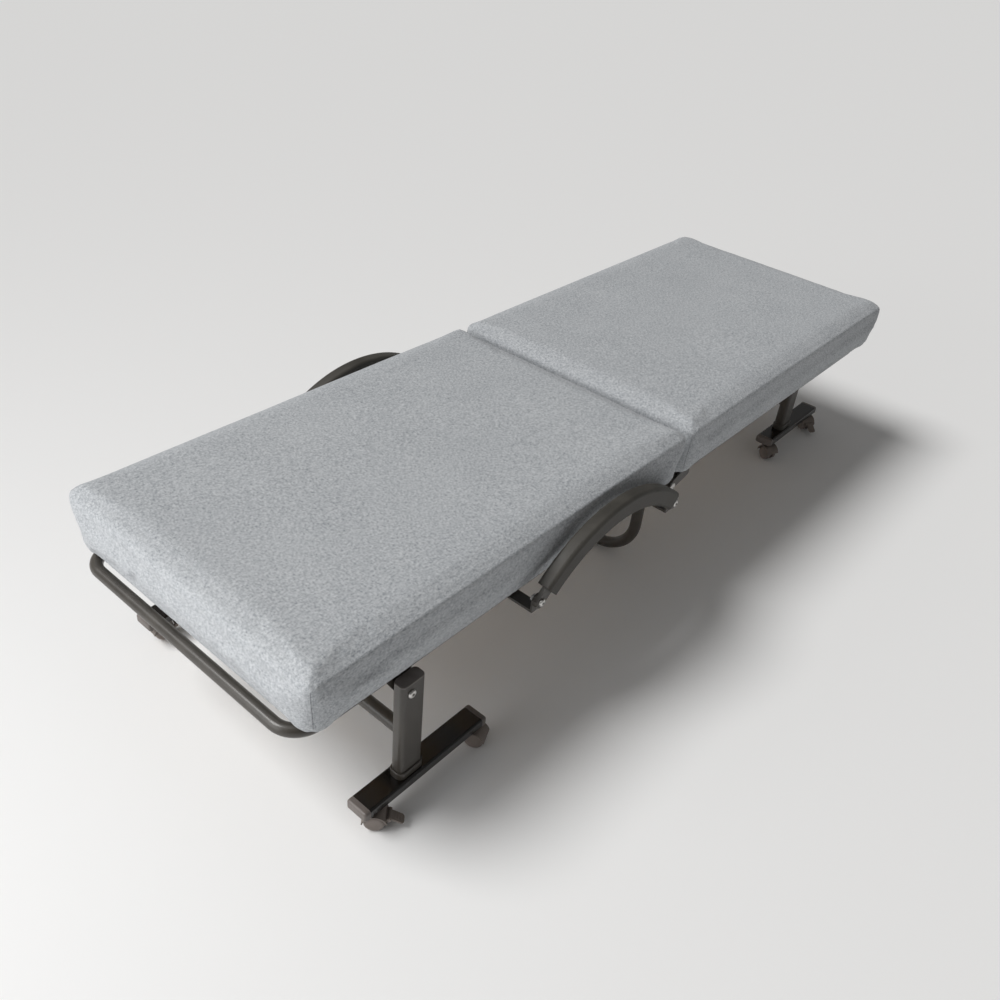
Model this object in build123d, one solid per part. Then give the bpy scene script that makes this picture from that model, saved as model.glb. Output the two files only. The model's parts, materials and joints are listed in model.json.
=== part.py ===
from build123d import *
import math
import os

# A rollaway bed: two mattress halves on hinged tube frames. Lifting the middle folds it
# into an upright V on its own castors. +X runs from the front end, which has the push
# handles, to the rear end; +Y is the left side; z = 0 is the floor.

# Whole bed
FOLD_X = 10.5                # the fold line; the front end rail stands proud, the rear one doesn't
FRONT_LENGTH = 955.0         # fold line to the end of the front mattress
REAR_LENGTH = 945.0          # fold line to the end of the rear mattress
FOLD_PIN_Z = 264.0

# Mattress halves
MATTRESS_WIDTH = 620.0
MATTRESS_TOP_Z = 405.0
MATTRESS_BOTTOM_Z = 287.0
MATTRESS_GAP = 10.0          # between the halves, lying flat
SIDE_LEAN = 13.0             # how far each side leans in at the bottom
END_LEAN = 8.0
TOP_CORNER = 18.0            # plan radius of the corners, at the top
BOTTOM_CORNER = 30.0
WIDEST_Z = 372.0             # the sides stand straight from here up
TOP_EDGE_RADIUS = 16.0
BOTTOM_EDGE_RADIUS = 8.0

# Side and end rails, one bent tube for each half
RAIL_D = 22.0
TUBE_WALL = 1.5
RAIL_Y = 270.0
RAIL_Z = 275.0
RAIL_CORNER = 55.0           # outer radius of the bend
RAIL_START = 16.0            # distance of the tube's open end from the fold line
FRONT_RAIL_PROUD = 11.0      # front end rail, beyond the mattress
REAR_RAIL_INSET = 13.0       # rear end rail, inside the mattress end

# Sprung slats
SLAT_COUNT = 7
SLAT_WIDTH = 53.0
SLAT_THICK = 9.0
SLAT_TOP_Z = 286.6
SLAT_FIRST = 95.0
SLAT_PITCH = 122.0
SLAT_END_Y = 254.0
SLAT_CAP_LENGTH = 30.0
SLAT_CAP_WALL = 2.6

# Centre hinge, one at each side
HINGE_EYE_R = 11.0
HINGE_ARM_START = 22.0
HINGE_ARM_END = 64.0
HINGE_ARM_DEEP = 18.0
HINGE_PLATE_STANDS_OFF = 3.0  # outside face of the front plate, beyond the rail
HINGE_HEAD_D = 17.0
HINGE_HEAD = 3.0

# Leg frames
PIVOT_U = 763.0              # leg pivots, from the fold line
PIVOT_Z = 254.0
POST_LENGTH_X = 50.0
POST_THICK = 25.0
POST_CORNER = 8.5
POST_WALL = 2.0
POST_TOP_Z = 272.0
POST_SHIFT = 7.0             # post centre, from the pivot towards the fold line
FRONT_POST_Y = 297.5
REAR_POST_Y = 203.0
POST_CAP_THICK = 3.0
POST_CAP_INSERT = 6.0

# Base bars under the posts
BAR_WIDTH = 45.0
BAR_BOTTOM_Z = 42.0
BAR_TOP_Z = 62.0
BAR_CORNER = 5.0
BAR_WALL = 2.0
BAR_OUTWARD = {"front": 103.0, "rear": 171.0}    # bar end, from the pivot towards the bed's end
BAR_INWARD = {"front": 183.0, "rear": 103.0}     # bar end, from the pivot towards the fold line
BAR_CAP_LENGTH = 12.0
BAR_CAP_INSERT = 14.0
COLLAR_HEIGHT = 14.0
COLLAR_WALL = 3.0
CROSSBAR_D = 25.0
CROSSBAR_Z = 137.0
CROSSBAR_SHIFT = 13.0        # crossbar centre, from the pivot towards the fold line

# Bolts, brackets and fits
BOLT_D = 8.0
BOLT_HEAD_D = 15.0
BOLT_HEAD = 4.5
NUT_ACROSS = 13.0
NUT_HEIGHT = 6.5
PLATE = 4.0
BRACKET_STANDS_OFF = 2.0     # how far a pivot bracket's far face is from the rail
BRACKET_TOP_LENGTH = 52.0
BRACKET_TOP_DEEP = 12.0
BRACKET_EYE_R = 12.5
RUNNING = 0.05               # radial clearance of a pin that turns in its hole
GAP = 0.3                    # space between faces that slide past each other

# Middle leg, hung from an axle across the rear frame
HOOP_U = 33.0
HOOP_D = 25.0
HOOP_Y = 208.5
HOOP_BEND = 92.0             # centre line radius of its lower corners
HOOP_AXLE_D = 16.0
SLEEVE_WALL = 2.0
SLEEVE_LENGTH = 42.0
SLEEVE_Y = 70.0

# Push handles on the front half
HANDLE_Y = 336.0
HANDLE_NEAR_U = 80.0
HANDLE_FAR_U = 492.0
HANDLE_END_Z = 289.0
HANDLE_RISE = 87.0
HANDLE_STRIP_THICK = 8.0
HANDLE_STRIP_DEEP = 24.0
PAD_WIDTH = 28.0
PAD_DEEP = 38.0
PAD_CORNER = 7.0
PAD_END_GAP = 24.0           # along the arc, from a bolt to the pad's end
LUG_WIDTH = 25.0
LUG_SHELF_THICK = 5.0
LUG_SHELF_DROP = 8.0         # underside of a lug's shelf, below the rail's centre

# Castors
WHEEL_R = 18.0
WHEEL_WIDTH = 11.5
WHEEL_DOME = 6.0             # edge radius of a wheel's outer face
WEB_THICK = 8.0
WHEEL_SIDE_GAP = 0.6
CASTOR_TRAIL = 14.0
CASTOR_INSET = 22.0          # swivel axis, from the bar's end
HOOD_INNER_R = 19.2
HOOD_OUTER_R = 21.4
HOOD_WIDTH = 36.0
HOOD_START = 12.0            # degrees round the axle, from straight back
HOOD_END = 172.0
NECK_D = 18.0
NECK_LOW_Z = 19.0
STEM_D = 8.0
STEM_LOW_Z = 22.0
WHEEL_AXLE_D = 6.0
STEM_FLANGE_D = 22.0
STEM_FLANGE = 1.8
PEDAL_WIDTH = 18.0
PEDAL_REACH = 26.0
PEDAL_THICK = 3.0
PEDAL_DROOP = 30.0           # degrees that the blade hangs below level
PEDAL_PIN_D = 4.0
PEDAL_PIN_ANGLE = 18.0       # degrees round the axle, from straight back
EAR_THICK = 3.0

SIDES = ((-1, "right"), (1, "left"))
SWIVELS = {                  # rest direction of each castor's trail, in degrees about +Z
    "front_right": (-48, -65),
    "front_left": (-15, 65),
    "rear_right": (-125, -110),
    "rear_left": (60, 125),
}

PARTS_FOLDER = "parts"
written = []


def save(name, *solids):
    """Write one node, a single solid or a group of separate solids."""
    shape = solids[0] if len(solids) == 1 else Compound(children=list(solids))
    export_step(shape, os.path.join(PARTS_FOLDER, name + ".step"))
    written.append(name)


def to_half(half, shape):
    """Move a shape from half space, where x is the distance from the fold line."""
    if half == "front":
        shape = mirror(shape, about=Plane.YZ)
    return Pos(FOLD_X, 0, 0) * shape


def save_half(half, name, *solids):
    save(name, *[to_half(half, solid) for solid in solids])


def rod_y(x, z, y_low, y_high, diameter):
    """A round bar along Y."""
    middle = (y_low + y_high) / 2
    return Pos(x, middle, z) * Rot(X=90) * Cylinder(diameter / 2, y_high - y_low)


def ordered(a, b):
    return min(a, b), max(a, b)


def rod_out(side, x, z, inner, outer, diameter):
    """A round bar along Y on one side, between two distances from the middle plane."""
    low, high = ordered(side * inner, side * outer)
    return rod_y(x, z, low, high, diameter)


def plate_out(side, sketch, inner, outer):
    """An outline drawn in x and z, made into a plate between two distances from the middle."""
    low, high = ordered(side * inner, side * outer)
    return Pos(0, low, 0) * extrude(Plane.XZ * sketch, amount=-(high - low))


def box_between(x_low, x_high, y_low, y_high, z_low, z_high):
    size = (x_high - x_low, y_high - y_low, z_high - z_low)
    centre = ((x_high + x_low) / 2, (y_high + y_low) / 2, (z_high + z_low) / 2)
    return Pos(*centre) * Box(*size)


def one(shape):
    """The single solid of a result."""
    return shape.solids()[0]


# ---------------------------------------------------------------- mattress halves

def mattress(length):
    """A crowned block whose sides and outer end lean in towards the bottom."""
    inner = MATTRESS_GAP / 2

    def section(z, lean_side, lean_end, corner):
        size_x = length - lean_end - inner
        outline = RectangleRounded(size_x, MATTRESS_WIDTH - 2 * lean_side, corner)
        return Pos(inner + size_x / 2, 0, z) * outline

    widest = section(WIDEST_Z, 0, 0, TOP_CORNER)
    block = loft([section(MATTRESS_BOTTOM_Z, SIDE_LEAN, END_LEAN, BOTTOM_CORNER), widest], ruled=True)
    block = block + extrude(widest, amount=MATTRESS_TOP_Z - WIDEST_Z)
    top_edges = block.faces().sort_by(Axis.Z)[-1].edges()
    block = fillet(top_edges, TOP_EDGE_RADIUS)
    bottom_edges = block.faces().sort_by(Axis.Z)[0].edges()
    return one(fillet(bottom_edges, BOTTOM_EDGE_RADIUS))


# ---------------------------------------------------------------- rails and slats

def rail(end_u):
    """One tube bent into a U that opens towards the fold line."""
    centre_r = RAIL_CORNER - RAIL_D / 2
    end_x = end_u - RAIL_D / 2
    path = FilletPolyline(
        (RAIL_START, -RAIL_Y, RAIL_Z),
        (end_x, -RAIL_Y, RAIL_Z),
        (end_x, RAIL_Y, RAIL_Z),
        (RAIL_START, RAIL_Y, RAIL_Z),
        radius=centre_r)
    start = Plane(origin=(RAIL_START, -RAIL_Y, RAIL_Z), z_dir=(1, 0, 0))
    outer = sweep(start * Circle(RAIL_D / 2), path=path)
    inner = sweep(start * Circle(RAIL_D / 2 - TUBE_WALL), path=path)
    return one(outer - inner)


def rail_bar(side, length):
    """The straight side rail as a plain bar, to cut seats from what is fixed to it."""
    bar = Rot(Y=90) * Cylinder(RAIL_D / 2, length)
    return Pos(length / 2, side * RAIL_Y, RAIL_Z) * bar


def slat_places():
    return [SLAT_FIRST + SLAT_PITCH * i for i in range(SLAT_COUNT)]


def slat(u):
    low = SLAT_TOP_Z - SLAT_THICK
    bar = box_between(u - SLAT_WIDTH / 2, u + SLAT_WIDTH / 2,
                      -SLAT_END_Y, SLAT_END_Y, low, SLAT_TOP_Z)
    return one(fillet(bar.edges().filter_by(Axis.Y), SLAT_THICK * 0.35))


def slat_cap(side, u):
    """A moulded pocket over a slat's end, seated on the inside of the rail."""
    low, high = ordered(side * (SLAT_END_Y - SLAT_CAP_LENGTH), side * RAIL_Y)
    half = SLAT_WIDTH / 2 + SLAT_CAP_WALL
    bottom = SLAT_TOP_Z - SLAT_THICK - SLAT_CAP_WALL
    body = box_between(u - half, u + half, low, high, bottom, SLAT_TOP_Z)
    body = fillet(body.edges().filter_by(Axis.Z), 2.0)
    body = body - rail_bar(side, SLAT_FIRST + SLAT_PITCH * SLAT_COUNT)
    return one(body - slat(u))


# ---------------------------------------------------------------- centre hinge

HINGE_OUTER = RAIL_Y + RAIL_D / 2 + HINGE_PLATE_STANDS_OFF


def hinge_outline():
    """An eye round the fold pin, joined to an arm along the rail."""
    eye = Pos(0, FOLD_PIN_Z) * Circle(HINGE_EYE_R)
    arm = Pos((HINGE_ARM_START + HINGE_ARM_END) / 2, RAIL_Z) * RectangleRounded(
        HINGE_ARM_END - HINGE_ARM_START, HINGE_ARM_DEEP, 5)
    return make_hull([eye.edges(), arm.edges()])


def front_hinge_plate(side):
    plate = plate_out(side, hinge_outline(), HINGE_OUTER - PLATE, HINGE_OUTER)
    plate = plate - rail_bar(side, 200)
    pin = rod_out(side, 0, FOLD_PIN_Z, HINGE_OUTER - 2 * PLATE, HINGE_OUTER + PLATE, BOLT_D)
    return one(plate - pin)


def rear_hinge_plate(side):
    """The outer plate of each hinge, with a packer that brings it in to the rail."""
    inner = HINGE_OUTER + GAP
    plate = plate_out(side, hinge_outline(), inner, inner + PLATE)
    packer_outline = Pos((HINGE_ARM_START + HINGE_ARM_END) / 2 + 1, RAIL_Z) * RectangleRounded(
        HINGE_ARM_END - HINGE_ARM_START - 2, HINGE_ARM_DEEP, 5)
    packer = plate_out(side, packer_outline, HINGE_OUTER - PLATE, inner)
    plate = plate + packer - rail_bar(side, 200)
    hole = rod_out(side, 0, FOLD_PIN_Z, inner - 2, inner + 2 * PLATE, BOLT_D + 2 * RUNNING)
    return one(plate - hole)


def hinge_pin(side):
    """A shouldered rivet through both plates, fast in the front one."""
    rear_outer = HINGE_OUTER + GAP + PLATE
    shank = rod_out(side, 0, FOLD_PIN_Z, HINGE_OUTER - PLATE, rear_outer + GAP, BOLT_D)
    head = rod_out(side, 0, FOLD_PIN_Z, rear_outer + GAP, rear_outer + GAP + HINGE_HEAD, HINGE_HEAD_D)
    head = fillet(head.edges().group_by(Axis.Y)[-1 if side > 0 else 0], 1.4)
    tail_outer = HINGE_OUTER - PLATE
    tail = rod_out(side, 0, FOLD_PIN_Z, tail_outer - HINGE_HEAD, tail_outer, HINGE_HEAD_D)
    return one(shank + head + tail)


# ---------------------------------------------------------------- bolts and brackets

def bolt(side, u, z, inner, outer, head_outside=True):
    """A bolt along Y with a domed head at one end and a hexagon nut at the other.

    inner and outer are the two clamped faces, as distances from the middle plane."""
    shank = rod_out(side, u, z, inner - NUT_HEIGHT, outer, BOLT_D)
    dome = rod_out(side, u, z, outer, outer + BOLT_HEAD, BOLT_HEAD_D)
    outer_edges = dome.edges().group_by(Axis.Y)[-1 if side > 0 else 0]
    dome = fillet(outer_edges, BOLT_HEAD * 0.7)
    socket = plate_out(side, Pos(u, z) * RegularPolygon(3.0, 6), outer + 1.8, outer + BOLT_HEAD + 1)
    nut = plate_out(side, Pos(u, z) * RegularPolygon(NUT_ACROSS / 2, 6, major_radius=False),
                    inner - NUT_HEIGHT, inner)
    return one(shank + (dome - socket) + nut)


def pivot_bracket(side, inner, outer, hole_d):
    """A hanger plate under the rail that carries a leg pivot."""
    top = Pos(PIVOT_U, RAIL_Z + 2) * RectangleRounded(BRACKET_TOP_LENGTH, BRACKET_TOP_DEEP, 4)
    eye = Pos(PIVOT_U, PIVOT_Z) * Circle(BRACKET_EYE_R)
    plate = plate_out(side, make_hull([top.edges(), eye.edges()]), inner, outer)
    plate = plate - rail_bar(side, FRONT_LENGTH)
    hole = rod_out(side, PIVOT_U, PIVOT_Z, inner - 1, outer + 1, hole_d)
    return one(plate - hole)


# ---------------------------------------------------------------- leg frames

def post(side, centre_y):
    """An upright of flat-sided tube with the pivot bolt across its top."""
    u = PIVOT_U - POST_SHIFT
    height = POST_TOP_Z - BAR_TOP_Z
    outline = RectangleRounded(POST_LENGTH_X, POST_THICK, POST_CORNER)
    core = RectangleRounded(POST_LENGTH_X - 2 * POST_WALL, POST_THICK - 2 * POST_WALL,
                            POST_CORNER - POST_WALL)
    tube = Pos(u, side * centre_y, BAR_TOP_Z) * extrude(outline - core, amount=height)
    hole = rod_out(side, PIVOT_U, PIVOT_Z, centre_y - POST_THICK, centre_y + POST_THICK, BOLT_D)
    return one(tube - hole)


def post_cap(side, centre_y):
    """A plastic plug that closes the top of a post."""
    u = PIVOT_U - POST_SHIFT
    lid = Pos(u, side * centre_y, POST_TOP_Z) * extrude(
        RectangleRounded(POST_LENGTH_X, POST_THICK, POST_CORNER), amount=POST_CAP_THICK)
    lid = fillet(lid.edges().group_by(Axis.Z)[-1], POST_CAP_THICK * 0.6)
    insert = Pos(u, side * centre_y, POST_TOP_Z - POST_CAP_INSERT) * extrude(
        RectangleRounded(POST_LENGTH_X - 2 * POST_WALL, POST_THICK - 2 * POST_WALL,
                         POST_CORNER - POST_WALL), amount=POST_CAP_INSERT)
    return one(lid + insert)


def collar(side, centre_y):
    """The welded socket round the foot of a post."""
    u = PIVOT_U - POST_SHIFT
    wide = COLLAR_WALL * 2
    outer = RectangleRounded(POST_LENGTH_X + wide, POST_THICK + wide, POST_CORNER + COLLAR_WALL)
    inner = RectangleRounded(POST_LENGTH_X, POST_THICK, POST_CORNER)
    ring = Pos(u, side * centre_y, BAR_TOP_Z) * extrude(outer - inner, amount=COLLAR_HEIGHT)
    rim = ring.faces().sort_by(Axis.Z)[-1].outer_wire().edges()
    return one(fillet(rim, COLLAR_WALL * 0.6))


def bar_ends(half):
    return PIVOT_U - BAR_INWARD[half], PIVOT_U + BAR_OUTWARD[half]


def castor_places(half):
    """Swivel axes of a bar's two castors: towards the bed's end, then towards the fold."""
    low, high = bar_ends(half)
    return high - CASTOR_INSET, low + CASTOR_INSET


def base_bar(half, side, centre_y):
    """The box-section foot, open at its ends and holed underneath for the castor stems."""
    low, high = bar_ends(half)
    low += BAR_CAP_LENGTH
    high -= BAR_CAP_LENGTH
    height = BAR_TOP_Z - BAR_BOTTOM_Z
    outline = RectangleRounded(BAR_WIDTH, height, BAR_CORNER)
    core = RectangleRounded(BAR_WIDTH - 2 * BAR_WALL, height - 2 * BAR_WALL, BAR_CORNER - BAR_WALL)
    start = Plane(origin=(low, side * centre_y, (BAR_TOP_Z + BAR_BOTTOM_Z) / 2),
                  x_dir=(0, 1, 0), z_dir=(1, 0, 0))
    tube = extrude(start * (outline - core), amount=high - low)
    for u in castor_places(half):
        tube = tube - Pos(u, side * centre_y, BAR_BOTTOM_Z) * Cylinder(STEM_D / 2, 3 * BAR_WALL)
    return one(tube)


def bar_cap(half, side, centre_y, end):
    """A rounded plug in a bar's open end; end is -1 towards the fold and 1 outwards."""
    low, high = bar_ends(half)
    face_u = high if end > 0 else low
    height = BAR_TOP_Z - BAR_BOTTOM_Z
    middle_z = (BAR_TOP_Z + BAR_BOTTOM_Z) / 2
    shoulder_u = face_u - end * BAR_CAP_LENGTH
    plane = Plane(origin=(shoulder_u, side * centre_y, middle_z), x_dir=(0, 1, 0), z_dir=(end, 0, 0))
    head = extrude(plane * RectangleRounded(BAR_WIDTH, height, BAR_CORNER), amount=BAR_CAP_LENGTH)
    end_face = head.faces().sort_by(Axis.X)[-1 if end > 0 else 0]
    head = fillet(end_face.edges(), BAR_CORNER * 0.9)
    fit = 2 * BAR_WALL
    insert = extrude(plane * RectangleRounded(BAR_WIDTH - fit, height - fit, BAR_CORNER - BAR_WALL),
                     amount=-BAR_CAP_INSERT)
    stem_u = castor_places(half)[0 if end > 0 else 1]
    slot = Pos(stem_u, side * centre_y, middle_z) * Box(STEM_D + 4, STEM_D + 4, 2 * height)
    return one(head + (insert - slot))


def crossbar(centre_y):
    """The round tube that ties a leg frame's two posts together."""
    inner_face = centre_y - POST_THICK / 2
    u = PIVOT_U - CROSSBAR_SHIFT
    tube = rod_y(u, CROSSBAR_Z, -inner_face, inner_face, CROSSBAR_D)
    bore = rod_y(u, CROSSBAR_Z, -inner_face, inner_face, CROSSBAR_D - 2 * TUBE_WALL)
    return one(tube - bore)


def castor_stem(side, centre_y, u):
    """A pin pressed up into the bar, with a flange under it and its lower end in the hood."""
    pin_high = BAR_TOP_Z - 2 * BAR_WALL
    pin = Pos(u, side * centre_y, (STEM_LOW_Z + pin_high) / 2) * Cylinder(
        STEM_D / 2, pin_high - STEM_LOW_Z)
    flange = Pos(u, side * centre_y, BAR_BOTTOM_Z - STEM_FLANGE / 2) * Cylinder(
        STEM_FLANGE_D / 2, STEM_FLANGE)
    return one(pin + flange)


def leg_frame(half, centre_y):
    """Every fixed piece of one leg frame."""
    for side, name in SIDES:
        save_half(half, half + "_" + name + "_post", post(side, centre_y))
        save_half(half, half + "_" + name + "_base_bar", base_bar(half, side, centre_y))
    save_half(half, half + "_leg_crossbar", crossbar(centre_y))
    save_half(half, half + "_post_collars", *[collar(side, centre_y) for side, _ in SIDES])
    post_caps = [post_cap(side, centre_y) for side, _ in SIDES]
    bar_caps = [bar_cap(half, side, centre_y, end) for side, _ in SIDES for end in (-1, 1)]
    save_half(half, half + "_leg_end_caps", *post_caps, *bar_caps)
    save_half(half, half + "_castor_stems",
              *[castor_stem(side, centre_y, u) for side, _ in SIDES for u in castor_places(half)])


# ---------------------------------------------------------------- middle leg

def mid_leg_hoop():
    """A U of round tube that stands on the floor and turns on the axle at its two tops."""
    low_z = HOOP_D / 2 + SLEEVE_WALL
    tube_top_z = FOLD_PIN_Z - HOOP_D
    path = FilletPolyline(
        (HOOP_U, -HOOP_Y, tube_top_z),
        (HOOP_U, -HOOP_Y, low_z),
        (HOOP_U, HOOP_Y, low_z),
        (HOOP_U, HOOP_Y, tube_top_z),
        radius=HOOP_BEND)
    start = Plane(origin=(HOOP_U, -HOOP_Y, tube_top_z), z_dir=(0, 0, -1))
    tube = sweep(start * Circle(HOOP_D / 2), path=path)
    tube = tube - sweep(start * Circle(HOOP_D / 2 - TUBE_WALL), path=path)
    bore = rod_y(HOOP_U, FOLD_PIN_Z, -HOOP_Y - HOOP_D, HOOP_Y + HOOP_D, HOOP_AXLE_D + 2 * RUNNING)
    for side, _ in SIDES:
        tube = tube + mid_leg_eye(side, tube_top_z)
    return one(tube - bore)


def mid_leg_eye(side, tube_top_z):
    """The solid top end of one upright, rounded about the axle."""
    upright = Pos(HOOP_U, side * HOOP_Y, (tube_top_z + FOLD_PIN_Z + HOOP_D / 2) / 2) * Cylinder(
        HOOP_D / 2, FOLD_PIN_Z + HOOP_D / 2 - tube_top_z)
    flat = Pos(HOOP_U, (tube_top_z + FOLD_PIN_Z) / 2) * Rectangle(HOOP_D, FOLD_PIN_Z - tube_top_z)
    outline = flat + Pos(HOOP_U, FOLD_PIN_Z) * Circle(HOOP_D / 2)
    return upright & plate_out(side, outline, HOOP_Y - HOOP_D / 2, HOOP_Y + HOOP_D / 2)


def mid_leg_sleeve(side):
    """A rubber ring round the hoop where it meets the floor."""
    low_z = HOOP_D / 2 + SLEEVE_WALL
    inner, outer = SLEEVE_Y, SLEEVE_Y + SLEEVE_LENGTH
    ring = rod_out(side, HOOP_U, low_z, inner, outer, HOOP_D + 2 * SLEEVE_WALL)
    return one(ring - rod_out(side, HOOP_U, low_z, inner, outer, HOOP_D))


def mid_leg_axle():
    half_length = RAIL_Y - RAIL_D / 2 - 0.5
    rod = rod_y(HOOP_U, FOLD_PIN_Z, -half_length, half_length, HOOP_AXLE_D)
    return one(chamfer(rod.edges().filter_by(GeomType.CIRCLE), 1.0))


def mid_leg_bracket(side):
    """A plate inside the rear rail that holds one end of the middle leg's axle."""
    inner = RAIL_Y - RAIL_D / 2 - 2.5
    top = Pos(HOOP_U + 4, RAIL_Z + 2) * RectangleRounded(34, 12, 4)
    eye = Pos(HOOP_U, FOLD_PIN_Z) * Circle(HOOP_AXLE_D / 2 + 4)
    plate = plate_out(side, make_hull([top.edges(), eye.edges()]), inner, inner + PLATE)
    plate = plate - rail_bar(side, 200)
    return one(plate - rod_out(side, HOOP_U, FOLD_PIN_Z, inner - 1, inner + PLATE + 1, HOOP_AXLE_D))


# ---------------------------------------------------------------- push handles

def handle_arc():
    """Radius and centre height of the handle's arc, from its chord and rise."""
    half_chord = (HANDLE_FAR_U - HANDLE_NEAR_U) / 2
    radius = (half_chord ** 2 + HANDLE_RISE ** 2) / (2 * HANDLE_RISE)
    centre_z = HANDLE_END_Z + HANDLE_RISE - radius
    return radius, centre_z, half_chord


def handle_curve(trim_angle):
    """The handle's centre line in x and z, stopping short of the bolts by an angle."""
    radius, centre_z, half_chord = handle_arc()
    reach = math.degrees(math.asin(half_chord / radius)) - trim_angle
    middle = (HANDLE_NEAR_U + HANDLE_FAR_U) / 2
    start = 90 - reach
    return CenterArc((middle, centre_z), radius, start, 2 * reach)


def handle_strip(side):
    """The steel strip through a handle, rounded and holed at its two ends."""
    flat = trace(handle_curve(0), HANDLE_STRIP_DEEP)
    for u in (HANDLE_NEAR_U, HANDLE_FAR_U):
        flat = flat + Pos(u, HANDLE_END_Z) * Circle(HANDLE_STRIP_DEEP / 2)
    for u in (HANDLE_NEAR_U, HANDLE_FAR_U):
        flat = flat - Pos(u, HANDLE_END_Z) * Circle(BOLT_D / 2)
    half = HANDLE_STRIP_THICK / 2
    return one(plate_out(side, flat, HANDLE_Y - half, HANDLE_Y + half))


def handle_pad(side):
    """The moulded grip that covers the strip between its bolts."""
    radius, _, _ = handle_arc()
    trim = math.degrees(PAD_END_GAP / radius)
    outline = trace(handle_curve(trim), PAD_DEEP)
    half = PAD_WIDTH / 2
    body = plate_out(side, outline, HANDLE_Y - half, HANDLE_Y + half)
    long_edges = [edge for edge in body.edges().filter_by(GeomType.CIRCLE) if edge.length > 100]
    body = fillet(long_edges, PAD_CORNER)
    return one(body - handle_strip(side))


def handle_lug(side, u):
    """An angle bracket from the rail out to one end of a handle."""
    shelf_low = RAIL_Z - LUG_SHELF_DROP
    shelf_high = shelf_low + LUG_SHELF_THICK
    strip_inner = HANDLE_Y - HANDLE_STRIP_THICK / 2
    low, high = ordered(side * (RAIL_Y + 6), side * strip_inner)
    shelf = box_between(u - LUG_WIDTH / 2, u + LUG_WIDTH / 2, low, high, shelf_low, shelf_high)
    ear = Pos(u, HANDLE_END_Z) * Circle(LUG_WIDTH / 2)
    ear = ear + Pos(u, (shelf_low + HANDLE_END_Z) / 2) * Rectangle(LUG_WIDTH, HANDLE_END_Z - shelf_low)
    upright = plate_out(side, ear, strip_inner - PLATE, strip_inner)
    bracket = shelf + upright - rail_bar(side, FRONT_LENGTH)
    return one(bracket - rod_out(side, u, HANDLE_END_Z, strip_inner - 10, strip_inner + 1, BOLT_D))


# ---------------------------------------------------------------- castors
# Drawn with the swivel axis on z and the wheels trailing towards +X, then turned.

def castor_hood():
    """The moulded body: a web between the wheels, a hood over them and a neck round the stem."""
    centre = (CASTOR_TRAIL, WHEEL_R)
    web_profile = Pos(*centre) * Circle(WHEEL_R - 5)
    neck_profile = Pos(1, (WHEEL_R + BAR_BOTTOM_Z) / 2 - 5) * Rectangle(NECK_D - 4, 24)
    web = web_plate(make_hull([web_profile.edges(), neck_profile.edges()]))
    sweep_angle = HOOD_END - HOOD_START
    shell_arc = CenterArc(centre, (HOOD_INNER_R + HOOD_OUTER_R) / 2, HOOD_START, sweep_angle)
    shell = plate_out(1, trace(shell_arc, HOOD_OUTER_R - HOOD_INNER_R), 0, HOOD_WIDTH)
    shell = Pos(0, -HOOD_WIDTH / 2, 0) * shell
    rib_arc = CenterArc(centre, (HOOD_INNER_R + WHEEL_R - 6) / 2, HOOD_START, sweep_angle)
    web = web + web_plate(trace(rib_arc, HOOD_INNER_R - WHEEL_R + 7))
    neck_top = BAR_BOTTOM_Z - STEM_FLANGE - GAP
    neck = Pos(0, 0, (NECK_LOW_Z + neck_top) / 2) * Cylinder(NECK_D / 2, neck_top - NECK_LOW_Z)
    for side, _ in SIDES:
        neck = neck - rod_out(side, *centre, WEB_THICK / 2, HOOD_WIDTH, 2 * HOOD_INNER_R)
    bore = Pos(0, 0, STEM_LOW_Z + 8) * Cylinder(STEM_D / 2 + RUNNING, 40)
    axle_hole = rod_y(*centre, -WEB_THICK, WEB_THICK, WHEEL_AXLE_D + 2 * RUNNING)
    return one(web + shell + neck - bore - axle_hole)


def web_plate(outline):
    """A plate as thick as the web, in the middle between the wheels."""
    return Pos(0, -WEB_THICK / 2, 0) * plate_out(1, outline, 0, WEB_THICK)


def castor_wheels():
    """Two plain domed wheels pressed on the ends of one axle."""
    inner = WEB_THICK / 2 + WHEEL_SIDE_GAP
    axle_half = inner + WHEEL_WIDTH / 2
    axle = rod_y(CASTOR_TRAIL, WHEEL_R, -axle_half, axle_half, WHEEL_AXLE_D)
    wheels = []
    for side, _ in SIDES:
        disc = rod_out(side, CASTOR_TRAIL, WHEEL_R, inner, inner + WHEEL_WIDTH, 2 * WHEEL_R)
        rims = disc.edges().filter_by(GeomType.CIRCLE).sort_by(Axis.Y)
        disc = fillet(rims[-1 if side > 0 else 0], WHEEL_DOME)
        disc = fillet(disc.edges().filter_by(GeomType.CIRCLE).sort_by(Axis.Y)[0 if side > 0 else -1], 1.0)
        wheels.append(one(disc - axle))
    return [*wheels, axle]


def pedal_pin_place():
    """Where the brake pedal turns: on the hood's back edge."""
    angle = math.radians(PEDAL_PIN_ANGLE)
    reach = HOOD_OUTER_R + PEDAL_PIN_D * 0.9
    return CASTOR_TRAIL + reach * math.cos(angle), WHEEL_R + reach * math.sin(angle)


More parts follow.
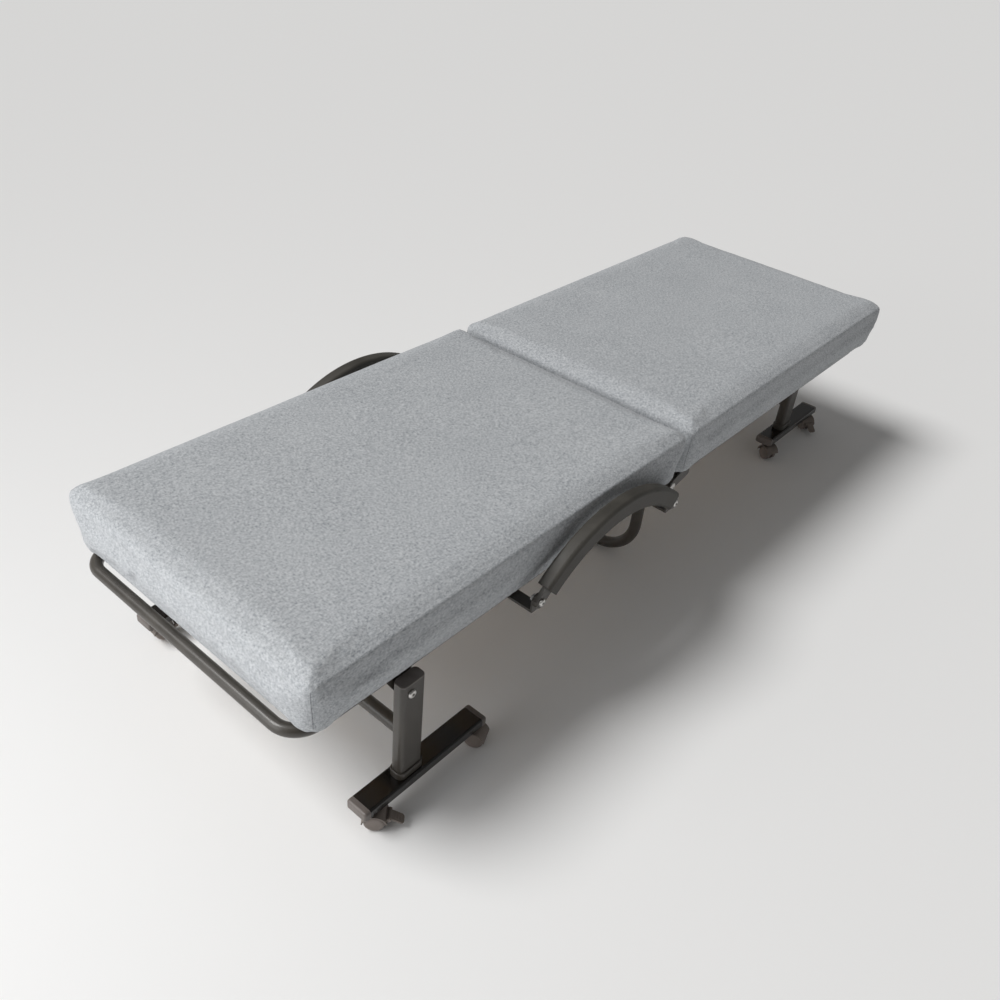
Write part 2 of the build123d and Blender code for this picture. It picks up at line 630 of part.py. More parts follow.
def brake_pedal():
    """A flap that hangs from the back of the hood and is pressed down to lock the wheels."""
    half = PEDAL_WIDTH / 2
    barrel = rod_y(0, 0, -half, half, PEDAL_PIN_D + 2)
    blade = Pos(PEDAL_REACH / 2, 0, 1.2) * Box(PEDAL_REACH, PEDAL_WIDTH, PEDAL_THICK)
    blade = fillet(blade.edges().filter_by(Axis.Z).sort_by(Axis.X)[-2:], 5.0)
    pedal = barrel + blade
    for share in (0.4, 0.6, 0.8):
        ridge_z = 1.2 + PEDAL_THICK / 2
        pedal = pedal + rod_y(PEDAL_REACH * share, ridge_z, -half + 4, half - 4, 1.4)
    pedal = one(pedal - rod_y(0, 0, -half, half, PEDAL_PIN_D + 2 * RUNNING))
    pin_x, pin_z = pedal_pin_place()
    return Pos(pin_x, 0, pin_z) * Rot(Y=PEDAL_DROOP) * pedal


def pedal_ears():
    """The hood's two ears and the pin they hold."""
    pin_x, pin_z = pedal_pin_place()
    inner = PEDAL_WIDTH / 2 + GAP
    outer = inner + EAR_THICK
    pin = rod_y(pin_x, pin_z, -outer, outer, PEDAL_PIN_D)
    angle = math.radians(PEDAL_PIN_ANGLE)
    root_x = CASTOR_TRAIL + HOOD_OUTER_R * math.cos(angle)
    root_z = WHEEL_R + HOOD_OUTER_R * math.sin(angle)
    root = Pos(root_x - 0.6, root_z) * Rot(Z=PEDAL_PIN_ANGLE) * Rectangle(1, 7)
    eye = Pos(pin_x, pin_z) * Circle(PEDAL_PIN_D / 2 + 1.5)
    outline = make_hull([root.edges(), eye.edges()])
    ears = pin
    for side, _ in SIDES:
        ears = ears + plate_out(side, outline, inner, outer)
    return ears


def save_castors(half, centre_y):
    """All four castors of a leg frame; the outer one of each pair has a brake."""
    for side, name in SIDES:
        corner = half + "_" + name
        for place, u, swivel in zip(("outer", "inner"), castor_places(half), SWIVELS[corner]):
            x = FOLD_X + (u if half == "rear" else -u)
            put = Pos(x, side * centre_y, 0) * Rot(Z=swivel)
            node = corner + "_" + place
            hood = castor_hood()
            if place == "outer":
                hood = one(hood + pedal_ears())
                save(node + "_brake_pedal", put * brake_pedal())
            save(node + "_castor_hood", put * hood)
            save(node + "_castor_wheels", *[put * solid for solid in castor_wheels()])


# ---------------------------------------------------------------- the two halves

def half_frame(half, length, end_u):
    """Mattress, rail, slats and hinge plates of one half."""
    save_half(half, half + "_mattress", mattress(length))
    save_half(half, half + "_rail", rail(end_u))
    save_half(half, half + "_slats", *[slat(u) for u in slat_places()])
    save_half(half, half + "_slat_caps",
              *[slat_cap(side, u) for u in slat_places() for side, _ in SIDES])


def front_half():
    half_frame("front", FRONT_LENGTH, FRONT_LENGTH + FRONT_RAIL_PROUD)
    save_half("front", "front_hinge_plates", *[front_hinge_plate(side) for side, _ in SIDES])
    save_half("front", "hinge_pins", *[hinge_pin(side) for side, _ in SIDES])
    outer = RAIL_Y + RAIL_D / 2 + BRACKET_STANDS_OFF
    save_half("front", "front_pivot_brackets",
              *[pivot_bracket(side, outer - PLATE, outer, BOLT_D + 2 * RUNNING) for side, _ in SIDES])
    save_half("front", "handle_strips", *[handle_strip(side) for side, _ in SIDES])
    for side, name in SIDES:
        save_half("front", name + "_handle_pad", handle_pad(side))
    ends = (HANDLE_NEAR_U, HANDLE_FAR_U)
    save_half("front", "handle_brackets", *[handle_lug(side, u) for side, _ in SIDES for u in ends])
    strip_outer = HANDLE_Y + HANDLE_STRIP_THICK / 2
    ear_inner = HANDLE_Y - HANDLE_STRIP_THICK / 2 - PLATE
    save_half("front", "handle_bolts",
              *[bolt(side, u, HANDLE_END_Z, ear_inner, strip_outer) for side, _ in SIDES for u in ends])


def rear_half():
    half_frame("rear", REAR_LENGTH, REAR_LENGTH - REAR_RAIL_INSET)
    save_half("rear", "rear_hinge_plates", *[rear_hinge_plate(side) for side, _ in SIDES])
    inner = RAIL_Y - RAIL_D / 2 - BRACKET_STANDS_OFF
    save_half("rear", "rear_pivot_brackets",
              *[pivot_bracket(side, inner, inner + PLATE, BOLT_D + 2 * RUNNING) for side, _ in SIDES])
    save_half("rear", "mid_leg_axle", mid_leg_axle())
    save_half("rear", "mid_leg_brackets", *[mid_leg_bracket(side) for side, _ in SIDES])


def front_leg():
    leg_frame("front", FRONT_POST_Y)
    outer = FRONT_POST_Y + POST_THICK / 2
    bracket_inner = RAIL_Y + RAIL_D / 2 + BRACKET_STANDS_OFF - PLATE
    save_half("front", "front_pivot_bolts",
              *[bolt(side, PIVOT_U, PIVOT_Z, bracket_inner - GAP, outer) for side, _ in SIDES])
    save_castors("front", FRONT_POST_Y)


def rear_leg():
    leg_frame("rear", REAR_POST_Y)
    inner = REAR_POST_Y - POST_THICK / 2
    bracket_outer = RAIL_Y - RAIL_D / 2 - BRACKET_STANDS_OFF + PLATE
    bolts = [bolt(side, PIVOT_U, PIVOT_Z, inner, bracket_outer + GAP) for side, _ in SIDES]
    spacers = [pivot_spacer(side) for side, _ in SIDES]
    save_half("rear", "rear_pivot_bolts_and_spacers", *bolts, *spacers)
    save_castors("rear", REAR_POST_Y)


def pivot_spacer(side):
    """The tube round a rear pivot bolt that keeps the post in from the rail."""
    low = REAR_POST_Y + POST_THICK / 2
    high = RAIL_Y - RAIL_D / 2 - BRACKET_STANDS_OFF - GAP
    tube = rod_out(side, PIVOT_U, PIVOT_Z, low, high, BOLT_D + 8)
    return one(tube - rod_out(side, PIVOT_U, PIVOT_Z, low, high, BOLT_D))


def mid_leg():
    save_half("rear", "mid_leg_hoop", mid_leg_hoop())
    save_half("rear", "mid_leg_sleeves", *[mid_leg_sleeve(side) for side, _ in SIDES])


os.makedirs(PARTS_FOLDER, exist_ok=True)
front_half()
rear_half()
mid_leg()
front_leg()
rear_leg()
print(len(written), "nodes")
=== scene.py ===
import json
import math

import bpy
import numpy as np
from mathutils import Matrix, Vector, noise
from mathutils.bvhtree import BVHTree


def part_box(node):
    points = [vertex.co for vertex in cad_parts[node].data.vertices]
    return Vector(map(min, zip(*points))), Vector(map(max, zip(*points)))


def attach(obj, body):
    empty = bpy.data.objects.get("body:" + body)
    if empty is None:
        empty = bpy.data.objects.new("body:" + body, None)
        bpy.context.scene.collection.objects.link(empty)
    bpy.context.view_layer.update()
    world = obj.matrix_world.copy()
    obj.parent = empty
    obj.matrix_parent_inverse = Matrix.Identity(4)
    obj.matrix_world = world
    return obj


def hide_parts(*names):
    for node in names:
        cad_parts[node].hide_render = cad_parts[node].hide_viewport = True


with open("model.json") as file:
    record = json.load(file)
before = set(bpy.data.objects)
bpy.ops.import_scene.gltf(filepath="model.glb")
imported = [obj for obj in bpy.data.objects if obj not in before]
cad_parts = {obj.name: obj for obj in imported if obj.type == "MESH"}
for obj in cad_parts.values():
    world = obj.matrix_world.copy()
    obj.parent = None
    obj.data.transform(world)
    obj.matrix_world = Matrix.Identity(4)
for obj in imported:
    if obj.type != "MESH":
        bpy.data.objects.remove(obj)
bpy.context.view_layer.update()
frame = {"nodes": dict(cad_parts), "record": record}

MM = 0.001
FRONT, REAR = "front", "rear"


# ---------------------------------------------------------------- camera, floor and light

CAMERA_PLACE = (-1.471, -0.995, 1.340)
CAMERA_YAW = math.radians(37.644)
CAMERA_PITCH = math.radians(35.72)
CAMERA_ROLL = math.radians(5.831)
CAMERA_LENS = 34.089
SENSOR_WIDTH = 36.0

FLOOR_HALF = 60.0            # far enough out that no view shows an edge
SKY_COLOUR = (1.0, 0.99, 0.975, 1.0)
SKY_STRENGTH = 0.17
SUN_TOWARDS = (-0.45, 0.40, 0.80)
SUN_STRENGTH = 2.3
SUN_SPREAD = 24


def link(piece):
    bpy.context.scene.collection.objects.link(piece)
    return piece


def make_camera():
    data = bpy.data.cameras.new("camera")
    data.lens = CAMERA_LENS
    data.sensor_width = SENSOR_WIDTH
    camera = link(bpy.data.objects.new("camera", data))
    level = math.cos(CAMERA_PITCH)
    forward = Vector((math.cos(CAMERA_YAW) * level, math.sin(CAMERA_YAW) * level,
                      -math.sin(CAMERA_PITCH)))
    right = Vector((math.sin(CAMERA_YAW), -math.cos(CAMERA_YAW), 0))
    up = right.cross(forward)
    turned_right = math.cos(CAMERA_ROLL) * right + math.sin(CAMERA_ROLL) * up
    turned_up = math.cos(CAMERA_ROLL) * up - math.sin(CAMERA_ROLL) * right
    axes = Matrix((turned_right, turned_up, -forward)).transposed()
    camera.matrix_world = Matrix.Translation(CAMERA_PLACE) @ axes.to_4x4()
    bpy.context.scene.camera = camera


def area_light(name, place, target, size, power, colour):
    data = bpy.data.lights.new(name, "AREA")
    data.shape = "SQUARE"
    data.size = size
    data.energy = power
    data.color = colour
    light = link(bpy.data.objects.new(name, data))
    light.location = place
    direction = Vector(target) - Vector(place)
    light.rotation_euler = direction.to_track_quat("-Z", "Y").to_euler()


def sun_light(name, towards, power, spread_angle, colour):
    """A broad soft sun; towards is the direction from the object to it."""
    data = bpy.data.lights.new(name, "SUN")
    data.energy = power
    data.angle = math.radians(spread_angle)
    data.color = colour
    light = link(bpy.data.objects.new(name, data))
    light.rotation_euler = Vector(towards).to_track_quat("Z", "Y").to_euler()


def make_studio():
    scene = bpy.context.scene
    scene.view_settings.view_transform = "Standard"
    world = bpy.data.worlds.new("studio")
    world.use_nodes = True
    background = world.node_tree.nodes["Background"]
    background.inputs["Color"].default_value = SKY_COLOUR
    background.inputs["Strength"].default_value = SKY_STRENGTH
    scene.world = world
    sun_light("key", SUN_TOWARDS, SUN_STRENGTH, SUN_SPREAD, (1.0, 0.995, 0.985))
    area_light("near_end", (-2.6, 0.4, 0.9), (-0.95, 0, 0.3), 1.4, 17, (1.0, 1.0, 1.0))
    mesh = bpy.data.meshes.new("floor")
    half = FLOOR_HALF
    mesh.from_pydata([(-half, -half, 0), (half, -half, 0), (half, half, 0), (-half, half, 0)],
                     [], [(0, 1, 2, 3)])
    floor = link(bpy.data.objects.new("floor", mesh))
    mesh.materials.append(floor_material())


# ---------------------------------------------------------------- material helpers

def new_material(name):
    material = bpy.data.materials.new(name)
    material.use_nodes = True
    tree = material.node_tree
    return material, tree, tree.nodes["Principled BSDF"]


def add(tree, kind, values=None, **settings):
    """A node with some of its sockets and settings filled in."""
    node = tree.nodes.new(kind)
    for key, value in settings.items():
        setattr(node, key, value)
    for key, value in (values or {}).items():
        node.inputs[key].default_value = value
    return node


def wire(tree, source, output, target, socket):
    tree.links.new(source.outputs[output], target.inputs[socket])


def coordinates(tree, scale=(1, 1, 1), turn=(0, 0, 0)):
    """Object coordinates in metres, stretched by scale."""
    place = add(tree, "ShaderNodeTexCoord")
    mapping = add(tree, "ShaderNodeMapping", {"Scale": scale, "Rotation": turn})
    wire(tree, place, "Object", mapping, "Vector")
    return mapping


def noise_at(tree, scale, stretch=(1, 1, 1), detail=2.0, roughness=0.5, turn=(0, 0, 0)):
    texture = add(tree, "ShaderNodeTexNoise",
                  {"Scale": scale, "Detail": detail, "Roughness": roughness})
    wire(tree, coordinates(tree, stretch, turn), "Vector", texture, "Vector")
    return texture


def spread(tree, source, output, low, high, to_low, to_high):
    """Map one range of a value on to another."""
    node = add(tree, "ShaderNodeMapRange",
               {"From Min": low, "From Max": high, "To Min": to_low, "To Max": to_high})
    wire(tree, source, output, node, "Value")
    return node


def ramp(tree, source, output, stops):
    node = add(tree, "ShaderNodeValToRGB")
    elements = node.color_ramp.elements
    while len(elements) < len(stops):
        elements.new(0.5)
    for element, (place, colour) in zip(elements, stops):
        element.position = place
        element.color = (*colour, 1.0)
    wire(tree, source, output, node, "Fac")
    return node


def combine(tree, operation, first, second):
    """A Math node on two (node, output) pairs or numbers."""
    node = add(tree, "ShaderNodeMath", operation=operation)
    for index, item in enumerate((first, second)):
        if isinstance(item, tuple):
            tree.links.new(item[0].outputs[item[1]], node.inputs[index])
        else:
            node.inputs[index].default_value = item
    return node


def bump(tree, shader, source, output, distance, strength=1.0):
    node = add(tree, "ShaderNodeBump", {"Distance": distance, "Strength": strength})
    wire(tree, source, output, node, "Height")
    wire(tree, node, "Normal", shader, "Normal")
    return node


# ---------------------------------------------------------------- materials

def floor_material():
    material, tree, shader = new_material("pale_floor")
    shader.inputs["Base Color"].default_value = (0.9, 0.9, 0.9, 1)
    shader.inputs["Roughness"].default_value = 0.9
    shader.inputs["Specular IOR Level"].default_value = 0.1
    return material


def heather_fabric():
    """Two-tone yarns crossing: dashes along and across the cloth, with cloudy clusters."""
    material, tree, shader = new_material("heather_fabric")
    warp = noise_at(tree, 1.0, (1150, 170, 1150), detail=1.5)
    weft = noise_at(tree, 1.0, (170, 1150, 620), detail=1.5)
    cluster = noise_at(tree, 225.0, detail=3.0, roughness=0.66)
    cloud = noise_at(tree, 9.0, detail=2.0)
    yarns = combine(tree, "ADD", (warp, "Fac"), (weft, "Fac"))
    weave = combine(tree, "MULTIPLY", (yarns, "Value"), 0.40)
    clusters = combine(tree, "MULTIPLY", (cluster, "Fac"), 0.42)
    mixed = combine(tree, "ADD", (weave, "Value"), (clusters, "Value"))
    soft = combine(tree, "MULTIPLY", (cloud, "Fac"), 0.06)
    total = combine(tree, "ADD", (mixed, "Value"), (soft, "Value"))
    colour = ramp(tree, total, "Value", [
        (0.48, (0.235, 0.250, 0.270)),
        (0.58, (0.370, 0.389, 0.412)),
        (0.65, (0.465, 0.483, 0.503)),
        (0.74, (0.585, 0.602, 0.620))])
    wire(tree, colour, "Color", shader, "Base Color")
    shader.inputs["Roughness"].default_value = 0.92
    shader.inputs["Specular IOR Level"].default_value = 0.18
    shader.inputs["Sheen Weight"].default_value = 0.12
    shader.inputs["Sheen Roughness"].default_value = 0.45
    bump(tree, shader, yarns, "Value", 0.0006, 0.55)
    return material


def seam_thread():
    material, tree, shader = new_material("seam_thread")
    twist = noise_at(tree, 900.0, detail=1.0)
    colour = ramp(tree, twist, "Fac", [(0.35, (0.20, 0.21, 0.225)), (0.65, (0.38, 0.39, 0.41))])
    wire(tree, colour, "Color", shader, "Base Color")
    shader.inputs["Roughness"].default_value = 0.85
    bump(tree, shader, twist, "Fac", 0.0003, 0.6)
    return material


def painted_steel(name, dark, light, gloss, gloss_spread, peel):
    """Powder-coated or enamelled tube: a faint orange peel, dust and rubbed patches."""
    material, tree, shader = new_material(name)
    dust = noise_at(tree, 14.0, detail=5.0, roughness=0.6)
    colour = ramp(tree, dust, "Fac", [(0.35, dark), (0.75, light)])
    wire(tree, colour, "Color", shader, "Base Color")
    rough = spread(tree, dust, "Fac", 0.3, 0.7, gloss, gloss + gloss_spread)
    wire(tree, rough, "Result", shader, "Roughness")
    shader.inputs["Metallic"].default_value = 0.0
    shader.inputs["Coat Weight"].default_value = 0.25
    shader.inputs["Coat Roughness"].default_value = 0.18
    skin = noise_at(tree, 520.0, detail=2.0)
    bump(tree, shader, skin, "Fac", peel, 0.5)
    return material


def moulded_plastic(name, dark, light, roughness, grain, grain_depth):
    """Injection-moulded plastic with a spark-eroded grain and slightly uneven colour."""
    material, tree, shader = new_material(name)
    cloud = noise_at(tree, 22.0, detail=4.0)
    colour = ramp(tree, cloud, "Fac", [(0.35, dark), (0.7, light)])
    wire(tree, colour, "Color", shader, "Base Color")
    rough = spread(tree, cloud, "Fac", 0.3, 0.7, roughness - 0.06, roughness + 0.08)
    wire(tree, rough, "Result", shader, "Roughness")
    texture = noise_at(tree, grain, detail=3.0, roughness=0.6)
    bump(tree, shader, texture, "Fac", grain_depth, 0.5)
    return material


def zinc_steel():
    material, tree, shader = new_material("zinc_steel")
    haze = noise_at(tree, 260.0, detail=3.0)
    colour = ramp(tree, haze, "Fac", [(0.3, (0.50, 0.49, 0.47)), (0.7, (0.72, 0.71, 0.69))])
    wire(tree, colour, "Color", shader, "Base Color")
    rough = spread(tree, haze, "Fac", 0.3, 0.7, 0.22, 0.42)
    wire(tree, rough, "Result", shader, "Roughness")
    shader.inputs["Metallic"].default_value = 1.0
    bump(tree, shader, haze, "Fac", 0.0001, 0.4)
    return material


def birch_ply():
    """Lacquered slat wood, with the grain along Y."""
    material, tree, shader = new_material("birch_ply")
    grain = noise_at(tree, 1.0, (260, 7, 260), detail=4.0, roughness=0.6)
    figure = noise_at(tree, 1.0, (40, 3, 40), detail=2.0)
    both = combine(tree, "ADD", (grain, "Fac"), (figure, "Fac"))
    colour = ramp(tree, both, "Value", [
        (0.70, (0.42, 0.27, 0.145)),
        (1.00, (0.58, 0.41, 0.24)),
        (1.0, (0.66, 0.49, 0.31))])
    wire(tree, colour, "Color", shader, "Base Color")
    shader.inputs["Roughness"].default_value = 0.42
    bump(tree, shader, grain, "Fac", 0.0002, 0.4)
    return material


def rubber():
    material, tree, shader = new_material("foot_rubber")
    scuff = noise_at(tree, 120.0, detail=4.0)
    colour = ramp(tree, scuff, "Fac", [(0.4, (0.012, 0.012, 0.012)), (0.75, (0.045, 0.043, 0.04))])
    wire(tree, colour, "Color", shader, "Base Color")
    shader.inputs["Roughness"].default_value = 0.75
    bump(tree, shader, scuff, "Fac", 0.0002, 0.5)
    return material


def dress_frame():
    """Give every CAD node that stays in sight its procedural material."""
    looks = {
        "frame_paint": painted_steel("frame_paint", (0.036, 0.031, 0.025), (0.062, 0.054, 0.044),
                                     0.36, 0.12, 0.00015),
        "bar_paint": painted_steel("bar_paint", (0.004, 0.003, 0.0025), (0.011, 0.008, 0.006),
                                   0.16, 0.14, 0.0001),
        "slat_wood": birch_ply(),
        "cap_plastic": moulded_plastic("cap_plastic", (0.115, 0.100, 0.092), (0.175, 0.153, 0.141),
                                       0.42, 900.0, 0.00012),
        "grip_plastic": moulded_plastic("grip_plastic", (0.040, 0.037, 0.031),
                                        (0.062, 0.057, 0.049), 0.58, 1300.0, 0.0002),
        "zinc_steel": zinc_steel(),
        "castor_plastic": moulded_plastic("castor_plastic", (0.150, 0.126, 0.109),
                                          (0.245, 0.205, 0.180), 0.40, 1100.0, 0.0001),
        "wheel_plastic": moulded_plastic("wheel_plastic", (0.180, 0.150, 0.132),
                                         (0.285, 0.238, 0.212), 0.34, 700.0, 0.00008),
        "foot_rubber": rubber(),
    }
    slots = {part["node"]: part["material_slot"] for part in frame["record"]["subparts"]}
    for name, piece in frame["nodes"].items():
        look = looks.get(slots[name])
        if look is None:
            continue
        for place in piece.material_slots:
            place.material = look
        if not piece.material_slots:
            piece.data.materials.append(look)


# ---------------------------------------------------------------- mattress halves

VOXEL = 7.5 * MM
SHRINK = 1.2 * MM            # taken off top and bottom before the cover is filled out
SIDE_SWELL = 1.5 * MM        # added to the sides and ends
SWELL_CAP = 6.0 * MM
CLOTH_FRAMES = 14

SIDE_PUCKER_PITCH = 13.5 * MM
SIDE_PUCKER_DEPTH = 0.80 * MM
END_PUCKER_PITCH = 15.0 * MM
END_PUCKER_DEPTH = 0.28 * MM
PUCKER_WANDER = 6.0 * MM
REAR_GATHER_FROM_FOLD = 620 * MM     # middle of the rear half's strongest gathers
REAR_GATHER_REACH = 170 * MM
HEM_HEIGHT = 14 * MM
HEM_WIDTH = 4 * MM
HEM_DEPTH = 0.9 * MM
TOP_SWELL = 0.7 * MM
TOP_SLUMP = 1.3 * MM
CORNER_REACH = 45 * MM
CORNER_CREASE = 0.5 * MM
SKIRT_BULGE = 3.5 * MM       # how far the sides' lower part leans out
SKIRT_SAG = 3.0 * MM         # how far the sides' bottom edge hangs over the tube


def copy_of(node, name):
    mesh = frame["nodes"][node].data.copy()
    mesh.materials.clear()
    return link(bpy.data.objects.new(name, mesh))


def read_points(mesh):
    points = np.empty(len(mesh.vertices) * 3)
    mesh.vertices.foreach_get("co", points)
    return points.reshape(-1, 3)


def write_points(mesh, points):
    mesh.vertices.foreach_set("co", points.reshape(-1))
    mesh.update()


def read_normals(mesh):
    normals = np.empty(len(mesh.vertices) * 3)
    mesh.vertices.foreach_get("normal", normals)
    return normals.reshape(-1, 3)


def apply_modifier(piece, modifier):
    bpy.context.view_layer.objects.active = piece
    bpy.ops.object.modifier_apply(modifier=modifier.name)


def remesh(piece, size):
    modifier = piece.modifiers.new("remesh", "REMESH")
    modifier.mode = "VOXEL"
    modifier.voxel_size = size
    apply_modifier(piece, modifier)


def fill_out(piece):
    """Blow the cover up from inside with a cloth simulation, then keep the limited result."""
    mesh = piece.data
    start = read_points(mesh)
    cloth = piece.modifiers.new("cloth", "CLOTH")
    settings = cloth.settings
    settings.quality = 4
    settings.mass = 0.25
    settings.tension_stiffness = 22
    settings.compression_stiffness = 22
    settings.shear_stiffness = 8
    settings.bending_stiffness = 1.2
    settings.use_pressure = True
    settings.uniform_pressure_force = 4.0
    settings.effector_weights.gravity = 0
    cloth.collision_settings.use_collision = False
    scene = bpy.context.scene
    for step in range(1, CLOTH_FRAMES + 1):
        scene.frame_set(step)
    graph = bpy.context.evaluated_depsgraph_get()
    result = piece.evaluated_get(graph).to_mesh()
    moved = read_points(result) - start
    piece.evaluated_get(graph).to_mesh_clear()
    piece.modifiers.remove(cloth)
    scene.frame_set(1)
    length = np.linalg.norm(moved, axis=1, keepdims=True)
    limited = moved * np.minimum(1.0, SWELL_CAP / np.maximum(length, 1e-9))
    write_points(mesh, start + limited)


def subdivide(piece):
    modifier = piece.modifiers.new("subdivide", "SUBSURF")
    modifier.levels = 1
    modifier.render_levels = 1
    apply_modifier(piece, modifier)


def shade_smooth(mesh):
    mesh.polygons.foreach_set("use_smooth", [True] * len(mesh.polygons))


def tailor(piece, low, high, half):
    """Seams, gathers, creases and a little unevenness, pressed into the filled cover."""
    mesh = piece.data
    points = read_points(mesh)
    normals = read_normals(mesh)
    x, y, z = points.T
    side_face = np.clip(np.abs(normals[:, 1]) * 1.6 - 0.4, 0, 1)
    end_face = np.clip(np.abs(normals[:, 0]) * 1.6 - 0.4, 0, 1)
    top_face = np.clip(normals[:, 2] * 2 - 0.9, 0, 1)
    depth = np.zeros(len(points))
    height = (z - low.z) / (high.z - low.z)

    gather = np.array([noise.noise(Vector((px * 34, py * 34, 3.1))) for px, py in zip(x, y)])
    waves_x = np.sin((x + PUCKER_WANDER * gather) * 2 * math.pi / SIDE_PUCKER_PITCH)
    waves_y = np.sin((y + PUCKER_WANDER * gather) * 2 * math.pi / END_PUCKER_PITCH)
    patch = np.array([noise.noise(Vector((px * 4.5, py * 4.5, 8.7))) for px, py in zip(x, y)])
    strength = np.clip(0.35 + patch, 0.05, 1.0)
    if half == REAR:
        middle = low.x + REAR_GATHER_FROM_FOLD
        strength = strength + 0.9 * np.exp(-((x - middle) / REAR_GATHER_REACH) ** 2)
    fade = np.clip(1.15 - height * 1.25, 0, 1)
    depth += SIDE_PUCKER_DEPTH * waves_x * side_face * strength * fade
    depth += END_PUCKER_DEPTH * waves_y * end_face * strength * fade

    edge = np.maximum(side_face, end_face)
    hem = np.exp(-((z - (low.z + HEM_HEIGHT)) / HEM_WIDTH) ** 2)
    depth -= HEM_DEPTH * hem * edge

    swell = np.array([noise.noise(Vector((px * 6, py * 6, 1.3))) for px, py in zip(x, y)])
    slump = np.array([noise.noise(Vector((px * 2.2, py * 2.2, 5.9))) for px, py in zip(x, y)])
    depth += top_face * (TOP_SWELL * swell + TOP_SLUMP * slump)

    for corner_x in (low.x, high.x):
        for corner_y in (low.y, high.y):
            across = np.hypot(x - corner_x, y - corner_y)
            band = np.exp(-(across / CORNER_REACH) ** 2) * np.clip((height - 0.35) / 0.4, 0, 1)
            turn = np.arctan2(y - corner_y, x - corner_x)
            depth += CORNER_CREASE * band * np.sin(turn * 22 + z * 240)
    depth += SKIRT_BULGE * np.exp(-((height - 0.14) / 0.16) ** 2) * edge
    moved = points + normals * depth[:, None]
    moved[:, 2] -= SKIRT_SAG * np.exp(-(height / 0.12) ** 2) * edge
    write_points(mesh, moved)


# Pulled-in stitch points at the near right top corner: place from that corner
# (along, across and down), radius, depth, and the number of creases round it.
CORNER_STITCHES = {
    FRONT: [((16 * MM, 14 * MM, 22 * MM), 10 * MM, 3.0 * MM, 3)],
    REAR: [((20 * MM, 18 * MM, 12 * MM), 12 * MM, 3.4 * MM, 7),
           ((36 * MM, 13 * MM, 14 * MM), 8 * MM, 2.2 * MM, 5)],
}


def corner_dimple(mesh, centre, radius, depth, spokes):
    """A pulled-in stitch point with creases running out from it."""
    points = read_points(mesh)
    normals = read_normals(mesh)
    offset = points - np.array(centre)
    distance = np.linalg.norm(offset, axis=1)
    near = np.exp(-(distance / radius) ** 2)
    turn = np.arctan2(offset[:, 2] + offset[:, 1], offset[:, 0])
    crease = 0.6 + 0.4 * np.cos(turn * spokes)
    write_points(mesh, points - normals * (depth * near * crease)[:, None])


def sweep_tube(name, paths, radius, sides=8):
    """Closed round tubes along several lists of points, as one mesh."""
    vertices, faces = [], []
    for path in paths:
        base = len(vertices)
        count = len(path)
        for index, point in enumerate(path):
            ahead = path[min(index + 1, count - 1)]
            behind = path[max(index - 1, 0)]
            along = (ahead - behind).normalized()
            helper = Vector((0, 0, 1)) if abs(along.z) < 0.9 else Vector((1, 0, 0))
            first = along.cross(helper).normalized()
            second = along.cross(first)
            size = radius * (0.45 if index in (0, count - 1) else 1.0)
            for side in range(sides):
                angle = 2 * math.pi * side / sides
                vertices.append(point + size * (math.cos(angle) * first + math.sin(angle) * second))
        for index in range(count - 1):
            for side in range(sides):
                after = (side + 1) % sides
                ring = base + index * sides
                faces.append((ring + side, ring + after, ring + sides + after, ring + sides + side))
        faces.append(tuple(base + side for side in reversed(range(sides))))
        last = base + (count - 1) * sides
        faces.append(tuple(last + side for side in range(sides)))
    mesh = bpy.data.meshes.new(name)
    mesh.from_pydata([tuple(v) for v in vertices], [], faces)
    shade_smooth(mesh)
    mesh.update()
    return link(bpy.data.objects.new(name, mesh))


def surface_line(tree, starts, inward, sink):
    """Points where rays from outside meet the surface, pushed in by a depth."""
    found = []
    for start in starts:
        hit, normal, _, _ = tree.ray_cast(start, inward)
        if hit is not None:
            found.append(hit - normal * sink)
    return found


SEAM_RADIUS = 0.9 * MM
STITCH_RADIUS = 0.35 * MM
STITCH_LENGTH = 3.2 * MM
STITCH_PITCH = 5.0 * MM
STITCH_OFFSET = 3.4 * MM
SEAM_SINK = 0.35 * MM
STITCH_SINK = 0.05 * MM
SEAM_STEPS = 34
SEAM_FROM_BOTTOM = 12 * MM
SEAM_FROM_TOP = 17 * MM


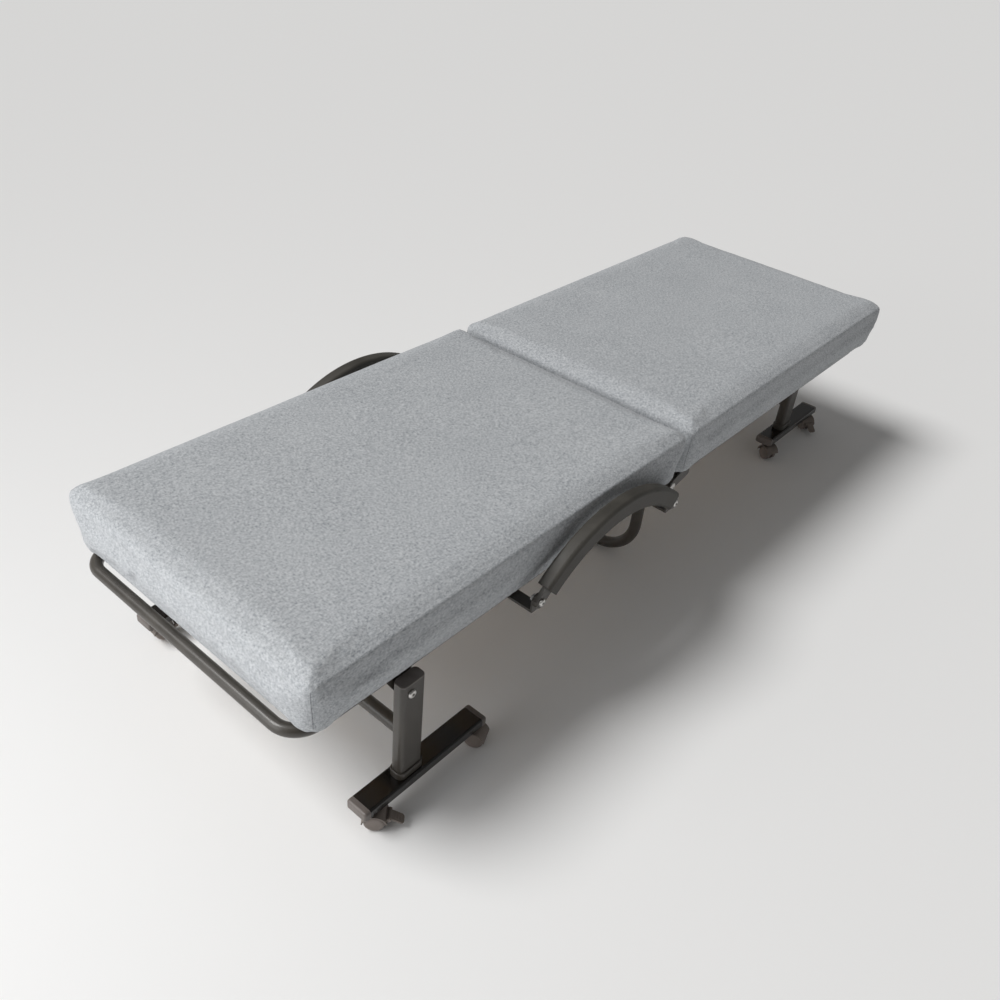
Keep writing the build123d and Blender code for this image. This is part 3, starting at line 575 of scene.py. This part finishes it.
def corner_seams(piece, low, high, half, thread):
    """The vertical joins of the boxing at the corners, each with a row of stitches."""
    tree = BVHTree.FromObject(piece, bpy.context.evaluated_depsgraph_get())
    seams, stitches = [], []
    bottom = low.z + SEAM_FROM_BOTTOM
    top = high.z - SEAM_FROM_TOP
    for end_x, out_x in ((low.x, -1), (high.x, 1)):
        for end_y, out_y in ((low.y, -1), (high.y, 1)):
            inward = Vector((-out_x, -out_y, 0)).normalized()
            across = Vector((-out_y, out_x, 0)).normalized()
            reach = Vector((end_x, end_y, 0)) - inward * 0.1
            starts = [reach + Vector((0, 0, bottom + (top - bottom) * i / SEAM_STEPS))
                      for i in range(SEAM_STEPS + 1)]
            line = surface_line(tree, starts, inward, SEAM_SINK)
            if len(line) > 2:
                seams.append(line)
            count = int((top - bottom) / STITCH_PITCH)
            for i in range(count):
                z0 = bottom + STITCH_PITCH * i
                ends = [reach + across * STITCH_OFFSET + Vector((0, 0, z0 + STITCH_LENGTH * t))
                        for t in (0, 0.5, 1)]
                stitch = surface_line(tree, ends, inward, STITCH_SINK)
                if len(stitch) == 3:
                    stitches.append(stitch)
    for name, paths, radius in ((half + "_corner_seams", seams, SEAM_RADIUS),
                                (half + "_corner_stitches", stitches, STITCH_RADIUS)):
        made = sweep_tube(name, paths, radius)
        made.data.materials.append(thread)
        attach(made, half + "_half")


def mattress(half, fabric, thread):
    node = half + "_mattress"
    low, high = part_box(node)
    piece = copy_of(node, half + "_mattress_cover")
    remesh(piece, VOXEL)
    mesh = piece.data
    normals = read_normals(mesh)
    amount = np.where(np.abs(normals[:, 2]) < 0.6, SIDE_SWELL, -SHRINK)
    write_points(mesh, read_points(mesh) + normals * amount[:, None])
    fill_out(piece)
    subdivide(piece)
    mesh = piece.data
    tailor(piece, low, high, half)
    mesh = piece.data
    for (along, across, down), radius, depth, spokes in CORNER_STITCHES[half]:
        centre = (low.x + along, low.y + across, high.z - down)
        corner_dimple(mesh, centre, radius, depth, spokes)
    shade_smooth(mesh)
    mesh.materials.append(fabric)
    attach(piece, half + "_half")
    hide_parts(node)
    corner_seams(piece, low, high, half, thread)


# ---------------------------------------------------------------- the whole scene

make_camera()
make_studio()
dress_frame()
fabric_look = heather_fabric()
thread_look = seam_thread()
for half_name in (FRONT, REAR):
    mattress(half_name, fabric_look, thread_look)
